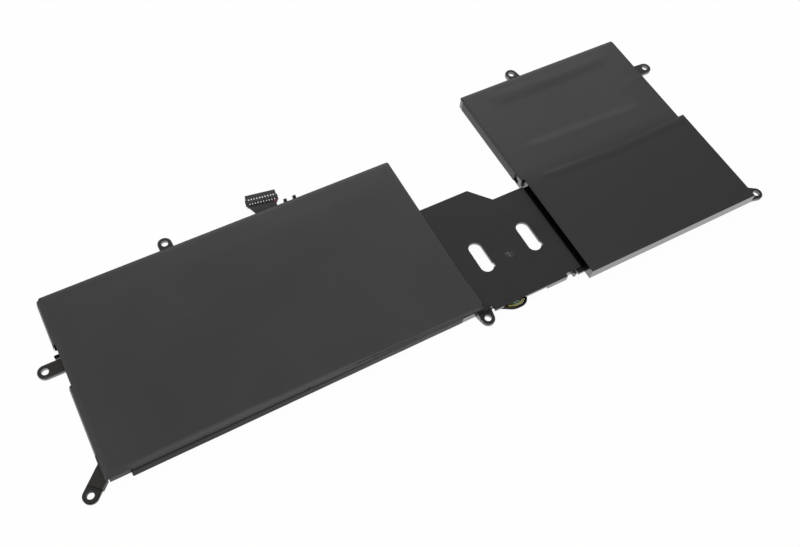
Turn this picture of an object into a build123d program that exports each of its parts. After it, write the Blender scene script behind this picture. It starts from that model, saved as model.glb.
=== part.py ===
from build123d import *
import os

os.makedirs("parts", exist_ok=True)

# Laptop battery, in millimetres. The origin is the centre of the left block's underside,
# +X runs along the pack to the right block, +Y to the edge with the plug, +Z up.

# Left block: two wide cells and the board, in the thinner tray
left_length = 163.3
left_width = 86.2
left_height = 4.2

# Right block: two cells, one behind the other, in the thicker tray
right_length = 91.5
right_width = 110.4
right_height = 5.8
right_overhang = 6.05
lower_bay_width = 54.2
lower_bay_step = 3.0

# Bridge between the blocks
bridge_length = 49.4
plate_top = 3.2
plate_thickness = 1.3
groove_width = 1.7
groove_floor_top = 2.0
plate_front_lip = 2.15
plate_right_lip = 0.65
plate_lip_start = 4.4
plate_lip_end = 41.5
plate_back_tall = 56.45
plate_back_low = 47.15
plate_tall_length = 25.2
plate_slant_length = 8.2
skirt = 1.0
wire_exit_start = 1.8
wire_exit_end = 31.5

slot_width = 6.1
slot_length = 15.8
slot_pitch = 24.8
slot_middle = 24.9
slot_from_front = 23.05
slot_nick = 0.45
slot_nick_length = 2.4

# Walls of the moulded frame and the film round it
film = 0.15
film_gap = 0.15
wall = 1.1
rib = 0.9
corner_radius = 1.0
flap_run = 1.5
flap_low = 0.3
flap_start = 9.9
bare_end = 10.3
flange_height = 0.6
flange_edge = 0.45
side_flap_start = 12.05
side_flap_split = 43.75
side_flap_gap = 18.8

# Cells, with the room that they leave for tabs and wires
cell_gap = 0.3
cell_top_gap = 0.1
cell_tape = 0.1
cell_corner = 1.5
cell_edge = 0.6
seam_fold = 0.35
seam_fold_height = 2.6
terrace = 3.0
terrace_thickness = 0.4
tab_width = 6.0
tab_thickness = 0.2
tab_from_rib = 7.0
tab_pair = 11.0
tab_from_end = 15.0
left_wire_lane = 5.4
right_wire_lane = 6.3

# Circuit board in its bay along the far wall of the left tray
board_bay = 10.8
board_past_rib = 22.2
board_thickness = 0.8
board_gap = 0.4
rest_width = 1.2
rest_count = 4

# Screw ears
ear_radius = 3.1
ear_hole = 3.0
ear_thickness = 1.6
ear_lift = 0.45
ear_chamfer = 0.3

# Wires across the bridge
power_wire = 1.3
sense_wire = 0.8
wire_space = 0.05
wire_flat_count = 8
channel_height = 1.4

# Harness and plug
harness_ways = 10
harness_wire = 0.9
harness_pitch = 1.02
harness_past_rib = 23.6
plug_pitch = 1.25
plug_length = 13.7
plug_depth = 5.2
plug_height = 2.9
plug_turn = -9.5
plug_out = 5.5
plug_shift = 0.6
plug_wire_z = 1.6
plug_approach = 0.8

# Small features of the frame
lip_top = 3.4
arm_step = 0.8
clip_width = 1.5
clip_reach = 2.6
clip_tip = 0.6
clip_offset = 8.8
clip_pitch = 4.4
clip_z0 = 0.9
recess_depth = 0.7
post_size = 1.2
film_inset = 0.1
tongue = 1.2
tongue_end = 12.5
ridge_width = 3.0
ridge_height = 0.2
tab_on_board = 2.4
tab_reach = 5.4
contact_width = 0.7
contact_window = 1.0
crimp_step = 0.8
crimp_drop = 1.0
polarising_rib = 0.5
wire_in_plug = 1.7
sensor_size = 1.2
bow_start = 13.1
bow_end = 20.6
bow_out = 4.2
channel_front = 3.2
post_from_front = 58.25
harness_straight = 1.85

# Edges that several pieces share
left_x0, left_x1 = -left_length / 2, left_length / 2
left_y0, left_y1 = -left_width / 2, left_width / 2
right_x0 = left_x1 + bridge_length
right_x1 = right_x0 + right_length
lower_x0 = right_x0 + groove_width
lower_x1 = right_x1 + lower_bay_step
right_y0 = left_y0 - right_overhang
right_y1 = right_y0 + right_width
step_y = right_y0 + lower_bay_width
base = film
left_rim = left_height - film
right_rim = right_height - film
plate_under = plate_top - plate_thickness
channel_top = base + channel_height

set_back = flap_run + film + film_gap
inner_x0 = left_x0 + set_back + wall
inner_x1 = left_x1 - wall
inner_y0 = left_y0 + set_back + wall
inner_y1 = left_y1 - wall
bay_y0 = inner_y1 - board_bay
bay_front = bay_y0 - rib
left_room = (inner_x1 - inner_x0 - rib - left_wire_lane) / 2
middle_rib_x = inner_x0 + left_room
upper_x0 = right_x0 + film + film_gap

board_width = board_bay - 2 * board_gap
board_z0 = channel_top
board_z1 = board_z0 + board_thickness
board_x1 = inner_x1 - board_gap
board_x0 = middle_rib_x - board_past_rib
board_length = board_x1 - board_x0
lane_under_board = power_wire * 2 + sense_wire * 3 + 8 * wire_space
board_wire_y = bay_y0 + wire_space + power_wire / 2
wire_row_y = channel_front + lane_under_board
harness_middle = middle_rib_x + harness_past_rib
harness_start_y = inner_y1 - 3.0
tab_z_right = channel_top
right_cell_x0 = lower_x0 + wall + right_wire_lane
left_tab_xs = [
    middle_rib_x - tab_from_rib - tab_pair, middle_rib_x - tab_from_rib,
    middle_rib_x + rib + 2 * tab_from_rib, middle_rib_x + rib + 2 * tab_from_rib + 2 * tab_pair,
]
right_tab_ys = [
    right_y0 + tab_from_end, step_y - tab_from_end, step_y + tab_from_end, right_y1 - tab_from_end,
]
sensor_z = board_z1 + (terrace_thickness + tab_thickness) / 2


def fill(x0, x1, y0, y1, z0, z1, mode=Mode.ADD):
    """A block between two corners."""
    with Locations((x0, y0, z0)):
        Box(x1 - x0, y1 - y0, z1 - z0, align=(Align.MIN, Align.MIN, Align.MIN), mode=mode)


def finish(piece, name):
    piece.part.label = name
    export_step(piece.part, f"parts/{name}.step")


def flap_section(edge, run, top):
    """Section of a flap: outer line from the bend, run inside the edge, down to the edge itself."""
    return [
        (edge + run, top), (edge + run + 1.5, top), (edge + run + 1.5, top - film),
        (edge + run + film, top - film), (edge + film, flap_low), (edge, flap_low),
    ]


# Outlines that the frame and the films share
left_outline = [
    (left_x0 + set_back, left_y0 + set_back),
    (left_x1 - bare_end, left_y0 + set_back),
    (left_x1 - bare_end, left_y0 + film_gap),
    (left_x1, left_y0 + film_gap),
    (left_x1, left_y1),
    (left_x0 + set_back, left_y1),
]
notch_y = left_y0 + plate_back_low + groove_width
right_outline = [
    (lower_x0, right_y0),
    (lower_x1, right_y0),
    (lower_x1, step_y),
    (right_x1, step_y),
    (right_x1, right_y1),
    (upper_x0, right_y1),
    (upper_x0, notch_y),
    (lower_x0, notch_y),
]
plate_outline = [
    (left_x1, left_y0),
    (left_x1 + plate_lip_start, left_y0),
    (left_x1 + plate_lip_start, left_y0 - plate_front_lip),
    (left_x1 + plate_lip_end, left_y0 - plate_front_lip),
    (left_x1 + plate_lip_end, left_y0 - plate_right_lip),
    (right_x0, left_y0 - plate_right_lip),
    (right_x0, left_y0 + plate_back_low),
    (left_x1 + plate_tall_length + plate_slant_length, left_y0 + plate_back_low),
    (left_x1 + plate_tall_length, left_y0 + plate_back_tall),
    (left_x1, left_y0 + plate_back_tall),
]
slot_centres = [
    (left_x1 + slot_middle + side * slot_pitch / 2, left_y0 + slot_from_front) for side in (-1, 1)
]

# Each ear: its hole, the middle of its root on the wall, the root's width and its turn
arm_reach = 9.2
ears = {
    "left": ((left_x0 - 5.7, left_y0 + 54.65), (left_x0 + set_back, left_y0 + 54.65), 2 * ear_radius, 90),
    "corner": (
        (left_x0 - 6.1, left_y0 - 0.45),
        (left_x0 - 6.1 + arm_reach, left_y0 - 0.45 + arm_reach), 2 * ear_radius - 0.4, -45,
    ),
    "far": ((left_x0 + 56.9, left_y1 + 4.05), (left_x0 + 56.9, left_y1 - 0.3), 2 * ear_radius, 0),
    "bridge": ((left_x1 - 0.1, left_y0 - 3.55), (left_x1 - 0.2, left_y0 + 0.3), 7.6, 0),
    "right_far": ((right_x0 + 34.0, right_y1 + 5.2), (right_x0 + 34.6, right_y1 - 0.3), 7.0, 0),
    "right_side": ((right_x1 + 7.6, right_y1 - 20.4), (right_x1 - 0.3, right_y1 - 20.1), 6.6, 90),
    "right_corner": ((lower_x1 + 4.4, right_y0 + 2.1), (lower_x1 - 0.4, right_y0 + 4.3), 8.2, 90),
}
ear_z0 = base + ear_lift
ear_z1 = ear_z0 + ear_thickness
root_depth = 1.2

# Frame: one moulding with both trays, the bridge and the ears
with BuildPart() as frame:
    for hole, root, root_width, turn in ears.values():
        with BuildSketch(Plane.XY.offset(ear_z0)):
            with Locations(hole):
                Circle(ear_radius)
            with Locations(Location((*root, 0), (0, 0, turn))):
                Rectangle(root_width, root_depth)
            make_hull()
        extrude(amount=ear_thickness)
    chamfer(faces().filter_by(Axis.Z).sort_by(Axis.Z)[-len(ears):].edges(), ear_chamfer)

    # The two trays, still solid, with the flange that the film's flaps come down to
    with BuildSketch(Plane.XY.offset(base)) as left_tray:
        with BuildLine():
            Polyline(*left_outline, close=True)
        make_face()
        fillet(left_tray.vertices().group_by(Axis.Y)[-1], corner_radius)
    extrude(amount=left_rim - base)
    fill(left_x0 + flap_start, left_x1 - bare_end, left_y0 + flange_edge, inner_y0, base, flange_height)
    for flap_y0, flap_y1 in (
        (left_y0 + side_flap_start, left_y0 + side_flap_split),
        (left_y0 + side_flap_split + side_flap_gap, left_y1 - corner_radius),
    ):
        fill(left_x0 + flange_edge, inner_x0, flap_y0, flap_y1, base, flange_height)
    with BuildSketch(Plane.XY.offset(base)) as right_tray:
        with BuildLine():
            Polyline(*right_outline, close=True)
        make_face()
        fillet(right_tray.vertices().group_by(Axis.Y)[-1], corner_radius)
    extrude(amount=right_rim - base)

    # The bridge: a thin plate on a skirt, and the lower floor of the groove beside the right tray
    with BuildSketch(Plane.XY.offset(base)):
        with BuildLine():
            Polyline(*plate_outline, close=True)
        make_face()
    extrude(amount=plate_top - base)
    fill(right_x0, lower_x0, left_y0 - plate_right_lip, left_y0 + plate_back_low, base, groove_floor_top)
    with BuildSketch(Plane.XY.offset(base)):
        with BuildLine():
            Polyline(*plate_outline, close=True)
        make_face()
        offset(amount=-skirt, kind=Kind.INTERSECTION, mode=Mode.REPLACE)
    extrude(amount=plate_under - base, mode=Mode.SUBTRACT)

    # Pockets for the cells and the board, open above and below
    for x0, x1, y0, y1 in (
        (inner_x0, middle_rib_x, inner_y0, bay_front),
        (middle_rib_x + rib, inner_x1, inner_y0, bay_front),
        (inner_x0, inner_x1, bay_y0, inner_y1),
        (lower_x0 + wall, lower_x1 - wall, right_y0 + wall, step_y - rib / 2),
        (upper_x0 + wall, right_x1 - wall, step_y + rib / 2, right_y1 - wall),
    ):
        fill(x0, x1, y0, y1, base, right_height, Mode.SUBTRACT)

    # Rests that carry the board over the power wires
    for number in range(rest_count):
        rest_x = board_x0 + (number + 0.5) * board_length / rest_count - rest_width / 2
        fill(rest_x, rest_x + rest_width, bay_y0 + lane_under_board, inner_y1, base, board_z0)
    # Cross ribs in the empty end of the board's bay
    for number in (1, 2):
        rib_x = inner_x0 + number * (board_x0 - board_gap - inner_x0) / 2 - rib
        fill(rib_x, rib_x + rib, bay_y0, inner_y1, base, left_rim)

    # Under the bridge: a guide for the wires, cross ribs, and the window where the wires bow out
    guide_y = wire_row_y + left_y0
    fill(left_x1, right_x0, guide_y, guide_y + rib, base, plate_under)
    for rib_x in (left_x1 + slot_middle - rib / 2, left_x1 + slot_middle + slot_pitch / 2 + slot_width):
        fill(rib_x, rib_x + rib, guide_y, left_y0 + plate_back_low, base, plate_under)
    fill(
        left_x1 + plate_lip_start, left_x1 + wire_exit_end,
        left_y0 - plate_front_lip, left_y0, base, plate_under, Mode.SUBTRACT,
    )
    fill(
        left_x1 + wire_exit_start, left_x1 + plate_lip_start + skirt,
        left_y0, left_y0 + skirt, base, plate_under, Mode.SUBTRACT,
    )
    # Windows for the wires: out of the board's bay, at both ends of the bridge, between the bays of
    # the right tray (where the link passes too), and for the harness in the far wall
    lane_x0 = inner_x1 - left_wire_lane
    fill(lane_x0 - rib, inner_x1, bay_front, bay_y0, base, channel_top, Mode.SUBTRACT)
    fill(lane_x0, inner_x1, left_y0 + film_gap + wall, inner_y0, base, left_rim, Mode.SUBTRACT)
    fill(
        lower_x0 + wall, right_cell_x0 + terrace, step_y - rib / 2, step_y + rib / 2,
        base, right_rim, Mode.SUBTRACT,
    )
    window_y0 = left_y0 + film_gap + wall - wire_space
    fill(inner_x1, left_x1, window_y0, guide_y + rib, base, plate_under, Mode.SUBTRACT)
    fill(left_x1, left_x1 + skirt, window_y0, guide_y, base, plate_under, Mode.SUBTRACT)
    fill(
        right_x0 - skirt, lower_x0 + wall, left_y0 + channel_front, guide_y,
        base, channel_top, Mode.SUBTRACT,
    )
    harness_half = harness_ways * harness_pitch / 2
    fill(
        harness_middle - harness_half, harness_middle + harness_half, inner_y1, left_y1,
        board_z1, left_rim, Mode.SUBTRACT,
    )
    # Notches that let the tabs of the left cells reach the board
    for tab_x in left_tab_xs:
        fill(
            tab_x - tab_width / 2 - cell_gap, tab_x + tab_width / 2 + cell_gap, bay_front, bay_y0,
            board_z1, left_rim, Mode.SUBTRACT,
        )

    # Slots in the plate, each with the nick beside its front end, and the screw holes
    for slot_x, slot_y in slot_centres:
        with BuildSketch(Plane.XY.offset(plate_under)):
            with Locations(Location((slot_x, slot_y, 0), (0, 0, 90))):
                SlotOverall(slot_length, slot_width)
            with Locations((slot_x + slot_width / 2, slot_y - slot_length / 2 + slot_nick_length)):
                Rectangle(2 * slot_nick, slot_nick_length)
        extrude(amount=plate_thickness, mode=Mode.SUBTRACT)
    for hole, *_ in ears.values():
        with Locations((*hole, ear_z1)):
            Hole(ear_hole / 2, depth=ear_thickness)

    # Raised lips where the ears meet the walls
    fill(left_x1 - 3.7, left_x1 - 3.0, left_y0 - 3.15, left_y0 + film_gap, ear_z1 - ear_chamfer, lip_top)
    fill(left_x1 - 3.0, left_x1 + 2.8, left_y0 - 0.65, left_y0 + film_gap, ear_z1 - ear_chamfer, lip_top)
    with BuildSketch(Plane.XY.offset(ear_z0)):
        with Locations(Location((left_x0 - 0.3, left_y0 + 0.95, 0), (0, 0, 45))):
            Rectangle(4.0, 0.8)
    extrude(amount=lip_top - ear_z0)
    # The corner ear's arm is thicker than its pad
    with BuildSketch(Plane.XY.offset(ear_z1 - ear_chamfer)):
        with Locations(Location((left_x0 - 1.45, left_y0 + 4.2, 0), (0, 0, 45))):
            Rectangle(6.9, 2 * ear_radius - 1.0)
    extrude(amount=arm_step + ear_chamfer)

    # A post beside the left ear's root
    fill(
        left_x0 + set_back - 2 * post_size, left_x0 + set_back,
        left_y0 + post_from_front, left_y0 + post_from_front + post_size, ear_z0, ear_z1 + arm_step / 2,
    )
    # Clips beside the harness, hooks at the bridge's right front corner and the recess behind it
    for clip_x in (harness_middle + clip_offset, harness_middle + clip_offset + clip_pitch):
        fill(clip_x, clip_x + clip_width, left_y1 - 0.2, left_y1 + clip_reach, clip_z0, clip_z0 + clip_width)
        fill(
            clip_x, clip_x + clip_width, left_y1 + clip_reach - 1.0, left_y1 + clip_reach,
            clip_z0, clip_z0 + clip_width + clip_tip,
        )
    hook_y = left_y0 - plate_right_lip
    fill(right_x0 - 4.4, right_x0 - 3.1, hook_y - 1.7, hook_y, base, plate_under + 0.7)
    fill(right_x0 - 1.8, lower_x0, hook_y - 1.7, hook_y, base, groove_floor_top - 0.7)
    fill(
        upper_x0, upper_x0 + recess_depth, notch_y + 2.0, notch_y + 4.6,
        base + 0.6, right_rim - 0.5, Mode.SUBTRACT,
    )
finish(frame, "frame")

# Cover film of the left block: a flat sheet, one flap that leans out over the front wall from end to
# end, two over the left wall, and a short tongue over the bridge
sheet_z0 = left_height - film
with BuildPart() as top_film_left:
    with BuildSketch(Plane.XY.offset(sheet_z0)) as sheet:
        with BuildLine():
            Polyline(
                (left_x0 + flap_run, left_y0 + flap_run),
                (left_x0 + flap_start, left_y0 + flap_run),
                (left_x1 - bare_end, left_y0),
                (left_x1, left_y0),
                (left_x1, left_y0 + 2.0),
                (left_x1 + tongue, left_y0 + 3.0),
                (left_x1 + tongue, left_y0 + tongue_end),
                (left_x1, left_y0 + tongue_end + 1.5),
                (left_x1, left_y1),
                (left_x0 + flap_run, left_y1),
                close=True,
            )
        make_face()
        fillet(sheet.vertices().group_by(Axis.Y)[-1], corner_radius)
    extrude(amount=film)
    for section_x, run in ((left_x0 + flap_start, flap_run), (left_x1 - bare_end, 0.0)):
        with BuildSketch(Plane.YZ.offset(section_x)):
            with BuildLine():
                Polyline(*flap_section(left_y0, run, left_height), close=True)
            make_face()
    loft(ruled=True)
    for flap_y0, flap_y1 in (
        (left_y0 + side_flap_start, left_y0 + side_flap_split),
        (left_y0 + side_flap_split + side_flap_gap, left_y1 - corner_radius),
    ):
        with BuildSketch(Plane.XZ.offset(-flap_y1)):
            with BuildLine():
                Polyline(*flap_section(left_x0, flap_run, left_height), close=True)
            make_face()
        extrude(amount=flap_y1 - flap_y0)
finish(top_film_left, "top_film_left")

# Cover film of the right block: a flat sheet with the ridges of the two bays, and one upright flap
ridge_z = right_height - film
with BuildPart() as top_film_right:
    with BuildSketch(Plane.XY.offset(ridge_z)) as sheet:
        with BuildLine():
            Polyline(
                (lower_x0 + film_inset, right_y0 + film_inset),
                (lower_x1 - film_inset, right_y0 + film_inset),
                (lower_x1 - film_inset, step_y - film_inset),
                (right_x1 - film_inset, step_y - film_inset),
                (right_x1 - film_inset, right_y1 - film_inset),
                (right_x0, right_y1 - film_inset),
                (right_x0, notch_y + film_inset),
                (lower_x0 + film_inset, notch_y + film_inset),
                close=True,
            )
        make_face()
        fillet(sheet.vertices().group_by(Axis.Y)[-1], corner_radius)
    extrude(amount=film)
    fill(right_x0, right_x0 + film, notch_y + 4.8, right_y1 - 2.8, flap_low, right_height)
    for ridge_y, ridge_x, ridge_length, ridge_turn in (
        (step_y - 0.7, right_x0 + 50.0, 74.0, 0.0),
        (step_y + 17.3, right_x0 + 47.0, 58.0, -2.0),
    ):
        with BuildSketch(Plane.XY.offset(right_height)):
            with Locations(Location((ridge_x, ridge_y, 0), (0, 0, ridge_turn))):
                SlotOverall(ridge_length, ridge_width)
        extrude(amount=ridge_height, taper=70)
finish(top_film_right, "top_film_right")

# Films of the hidden side, and the tape that closes the wires' channel under the bridge
with BuildPart() as bottom_film_left:
    with BuildSketch() as sheet:
        with BuildLine():
            Polyline(*left_outline, close=True)
        make_face()
        offset(amount=-film_inset, kind=Kind.INTERSECTION, mode=Mode.REPLACE)
        fillet(sheet.vertices().group_by(Axis.Y)[-1], corner_radius)
    extrude(amount=film)
finish(bottom_film_left, "bottom_film_left")

with BuildPart() as bottom_film_right:
    with BuildSketch() as sheet:
        with BuildLine():
            Polyline(*right_outline, close=True)
        make_face()
        offset(amount=-film_inset, kind=Kind.INTERSECTION, mode=Mode.REPLACE)
        fillet(sheet.vertices().group_by(Axis.Y)[-1], corner_radius)
    extrude(amount=film)
finish(bottom_film_right, "bottom_film_right")

with BuildPart() as channel_tape:
    fill(left_x1 + film_gap, lower_x0 - film_gap, left_y0 + film_gap, guide_y + rib, 0, film)
finish(channel_tape, "channel_tape")


def pouch_cell(x0, x1, y0, y1, z1, terrace_z, terrace_side):
    """A pouch cell: drawn body, side seams folded up against it, and the flat terrace at one end."""
    z0 = base + cell_tape
    terrace_z1 = terrace_z + terrace_thickness
    fold_z1 = z0 + seam_fold_height
    with BuildPart() as cell:
        if terrace_side == "left":
            body = (x0 + terrace, x1, y0 + seam_fold, y1 - seam_fold)
            terrace_box = (x0, body[0] + cell_corner, y0 + cell_corner, y1 - cell_corner)
            folds = [
                (body[0] + cell_corner, x1 - cell_corner, fold_y, fold_y + seam_fold)
                for fold_y in (y0, body[3])
            ]
        else:
            body = (x0 + seam_fold, x1 - seam_fold, y0, y1 - terrace)
            terrace_box = (x0 + cell_corner, x1 - cell_corner, body[3] - cell_corner, y1)
            folds = [
                (fold_x, fold_x + seam_fold, y0 + cell_corner, body[3] - cell_corner)
                for fold_x in (x0, body[1])
            ]
        fill(*body, z0, z1)
        fillet(cell.edges().filter_by(Axis.Z), cell_corner)
        chamfer(cell.faces().sort_by(Axis.Z)[-1].edges(), cell_edge)
        fill(*terrace_box, terrace_z, terrace_z1)
        for fold in folds:
            fill(*fold, z0, fold_z1)
    return cell


# Cells, each on its own double-sided tape
left_cell_top = sheet_z0 - cell_top_gap
right_cell_top = ridge_z - cell_top_gap
left_cell_y0, left_cell_y1 = inner_y0 + cell_gap, bay_front - cell_gap
cells = {
    1: (inner_x0 + cell_gap, middle_rib_x - cell_gap, left_cell_y0, left_cell_y1, left_cell_top, "far"),
    2: (
        middle_rib_x + rib + cell_gap, inner_x1 - left_wire_lane - cell_gap,
        left_cell_y0, left_cell_y1, left_cell_top, "far",
    ),
    3: (
        right_cell_x0, lower_x1 - wall - cell_gap,
        right_y0 + wall + cell_gap, step_y - rib / 2 - cell_gap, right_cell_top, "left",
    ),
    4: (
        right_cell_x0, right_x1 - wall - cell_gap,
        step_y + rib / 2 + cell_gap, right_y1 - wall - cell_gap, right_cell_top, "left",
    ),
}
for number, (x0, x1, y0, y1, z1, side) in cells.items():
    terrace_z = (board_z1 if side == "far" else tab_z_right) - (terrace_thickness - tab_thickness) / 2
    cell = pouch_cell(x0, x1, y0, y1, z1, terrace_z, side)
    finish(cell, f"cell_{number}")
    with BuildPart() as tape:
        tape_x0 = x0 + terrace if side == "left" else x0
        tape_y1 = y1 if side == "left" else y1 - terrace
        fill(
            tape_x0 + cell_corner, x1 - cell_corner, y0 + cell_corner, tape_y1 - cell_corner,
            base, base + cell_tape,
        )
    finish(tape, f"cell_tape_{number}")

# Tabs: the left cells' run back over the bay's front wall onto the board, the right cells' run
# out to the left over the wires
for number, (x0, x1, y0, y1, z1, side) in cells.items():
    for order, sign in enumerate(("positive", "negative")):
        with BuildPart() as tab:
            if side == "far":
                tab_x = left_tab_xs[2 * (number - 1) + order]
                fill(
                    tab_x - tab_width / 2, tab_x + tab_width / 2, y1, bay_y0 + board_gap + tab_on_board,
                    board_z1, board_z1 + tab_thickness,
                )
            else:
                tab_y = right_tab_ys[2 * (number - 3) + order]
                fill(
                    x0 - tab_reach, x0, tab_y - tab_width / 2, tab_y + tab_width / 2,
                    tab_z_right, tab_z_right + tab_thickness,
                )
        finish(tab, f"tab_{sign}_{number}")

# Nickel links: one across the board joins the left cells, one over the rib joins the right cells
with BuildPart() as link_strip_left:
    fill(
        left_tab_xs[1] - tab_width / 2, left_tab_xs[2] + tab_width / 2,
        bay_y0 + board_gap, bay_y0 + board_gap + tab_on_board,
        board_z1 + tab_thickness, board_z1 + 2 * tab_thickness,
    )
finish(link_strip_left, "link_strip_left")

with BuildPart() as link_strip_right:
    fill(
        right_cell_x0 - tab_reach, right_cell_x0,
        right_tab_ys[1] - tab_width / 2, right_tab_ys[2] + tab_width / 2,
        tab_z_right + tab_thickness, tab_z_right + 2 * tab_thickness,
    )
finish(link_strip_right, "link_strip_right")

# Protection board with its parts
with BuildPart() as circuit_board:
    with BuildSketch(Plane.XY.offset(board_z0)):
        with Locations(((board_x0 + board_x1) / 2, (bay_y0 + inner_y1) / 2)):
            RectangleRounded(board_length, board_width, 0.8)
    extrude(amount=board_thickness)
finish(circuit_board, "circuit_board")

board_y = (bay_y0 + inner_y1) / 2 + 0.9
board_parts = {
    "gauge_chip": (30.0, 5.0, 5.0, 0.9),
    "protection_chip": (38.0, 3.0, 3.0, 0.8),
    "charge_switch": (74.0, 5.0, 5.0, 1.0),
    "discharge_switch": (80.5, 5.0, 5.0, 1.0),
    "cell_fuse": (22.5, 6.0, 3.6, 1.1),
    "shunt_resistor": (14.5, 6.2, 3.2, 0.6),
}
for name, (along, length, width, height) in board_parts.items():
    with BuildPart() as chip:
        with Locations((board_x0 + along, board_y, board_z1)):
            Box(length, width, height, align=(Align.CENTER, Align.CENTER, Align.MIN))
        chamfer(chip.faces().sort_by(Axis.Z)[-1].edges(), 0.15)
    finish(chip, name)

with BuildPart() as capacitors:
    with Locations((board_x0 + 62.0, board_y, board_z1)):
        with GridLocations(2.6, 2.4, 6, 2):
            Box(1.6, 0.8, 0.8, align=(Align.CENTER, Align.CENTER, Align.MIN))
finish(capacitors, "capacitors")

# Insulating sheet that lies on the board's tallest part
with BuildPart() as board_insulator:
    fill(
        board_x0 + 10.0, harness_middle - harness_half - 1.0, bay_y0 + board_gap, inner_y1 - board_gap,
        board_z1 + 1.1, board_z1 + 1.1 + film,
    )
finish(board_insulator, "board_insulator")


def round_cord(route, radii, diameter):
    """A wire: straight runs joined by arcs, with enough flats round it to look round."""
    with BuildPart() as cord:
        with BuildLine() as path:
            FilletPolyline(*route, radius=radii)
        with BuildSketch(Plane(origin=path.line @ 0, z_dir=path.line % 0)):
            RegularPolygon(diameter / 2, wire_flat_count)
        sweep()
    return cord


def beside(route, gap):
    """The same flat route moved to its left, with its corners mitred."""
    headings = [(after - before).normalized() for before, after in zip(route, route[1:])]
    lefts = [Vector(-heading.Y, heading.X) for heading in headings]
    moved = [route[0] + lefts[0] * gap]
    for corner, left, next_left in zip(route[1:-1], lefts, lefts[1:]):
        moved.append(corner + (left + next_left) * (gap / (1 + left.dot(next_left))))
    return moved + [route[-1] + lefts[-1] * gap]


# Wires across the bridge: from under the board down the lane beside cell 2, out under the plate's
# front edge in a bow, back under the plate and into the lane of the right tray
wire_z = base + wire_space + power_wire / 2
first_step = power_wire / 2 + sense_wire / 2 + wire_space
sense_step = sense_wire + wire_space
last_gap = 2 * first_step + 2 * sense_step
lane_x = inner_x1 - wire_space - power_wire / 2 - last_gap
row_y = left_y0 + channel_front + wire_space + power_wire / 2
front_row_y = left_y0 + film_gap + wall + wire_space + power_wire / 2
right_lane_x = right_cell_x0 - wire_space - power_wire / 2
black_route = [
    Vector(lane_x - 10.0, board_wire_y, wire_z),
    Vector(lane_x, board_wire_y, wire_z),
    Vector(lane_x, front_row_y, wire_z),
    Vector(left_x1 + 2.5, front_row_y, wire_z),
    Vector(left_x1 + bow_start, left_y0 - bow_out, wire_z),
    Vector(left_x1 + bow_end, left_y0 - bow_out, wire_z),
    Vector(left_x1 + bow_end, row_y, wire_z),
    Vector(right_lane_x, row_y, wire_z),
    Vector(right_lane_x, right_tab_ys[0] + tab_width / 2, wire_z),
]
black_radii = [1.6, 6.0, 5.0, 6.0, 4.2, 1.6, 4.4]
turns_left = [False, True, False, True, True, False, True]
bridge_wires = {
    "black_1": (0.0, power_wire),
    "yellow": (first_step, sense_wire),
    "green": (first_step + sense_step, sense_wire),
    "white": (first_step + 2 * sense_step, sense_wire),
}
for colour, (gap, diameter) in bridge_wires.items():
    radii = [radius - gap if left else radius + gap for radius, left in zip(black_radii, turns_left)]
    route = beside(black_route, gap)
    finish(round_cord(route, radii, diameter), f"bridge_wire_{colour}")

# The second power wire lies behind the others and stays under the plate
far_row_y = row_y + last_gap
far_radii = [black_radii[0] + last_gap, 2.0, 2.0]
far_route = [
    Vector(lane_x - 10.0, board_wire_y + last_gap, wire_z),
    Vector(lane_x + last_gap, board_wire_y + last_gap, wire_z),
    Vector(lane_x + last_gap, far_row_y, wire_z),
    Vector(right_lane_x - last_gap, far_row_y, wire_z),
    Vector(right_lane_x - last_gap, right_tab_ys[3] + tab_width / 2, wire_z),
]
finish(round_cord(far_route, far_radii, power_wire), "bridge_wire_black_2")

# Plug and its harness
plug_frame = Plane(
    origin=(harness_middle + plug_shift, left_y1 + plug_out + plug_depth / 2, 0),
    x_dir=Vector(1, 0, 0).rotate(Axis.Z, plug_turn), z_dir=(0, 0, 1),
)
way_offsets = [(way - (harness_ways - 1) / 2) for way in range(harness_ways)]
cavity = harness_wire + 0.1
with BuildPart(plug_frame) as plug_housing:
    Box(plug_length, plug_depth, plug_height, align=(Align.CENTER, Align.CENTER, Align.MIN))
    chamfer(plug_housing.faces().sort_by(Axis.Z)[-1].edges(), 0.25)
    # Polarising ribs at the ends, and the step at the back where the crimps show
    for side in (-1, 1):
        with Locations((side * (plug_length / 2 + polarising_rib / 2), -plug_depth / 6, plug_height / 2)):
            Box(polarising_rib, plug_depth / 2, plug_height / 2)
    with Locations((0, -plug_depth / 2, plug_height)):
        Box(harness_ways * plug_pitch, 2 * crimp_step, 2 * crimp_drop, mode=Mode.SUBTRACT)
    for offset_number in way_offsets:
        with Locations((offset_number * plug_pitch, 0, plug_wire_z)):
            Box(cavity, plug_depth, cavity, mode=Mode.SUBTRACT)
        with Locations((offset_number * plug_pitch, 0, plug_height)):
            Box(contact_width, contact_window, 2 * (plug_height - plug_wire_z), mode=Mode.SUBTRACT)
finish(plug_housing, "plug_housing")

contact_y0 = wire_in_plug - plug_depth / 2
contact_length = plug_depth - wire_in_plug - 0.5
with BuildPart(plug_frame) as plug_contacts:
    for offset_number in way_offsets:
        with Locations((offset_number * plug_pitch, contact_y0 + contact_length / 2, plug_wire_z)):
            Box(contact_width, contact_length, contact_width)
        with Locations((offset_number * plug_pitch, 0, plug_wire_z + contact_width / 2)):
            Box(
                contact_width - 0.1, contact_window - 0.2, 0.7,
                align=(Align.CENTER, Align.CENTER, Align.MIN),
            )
finish(plug_contacts, "plug_contacts")

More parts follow.
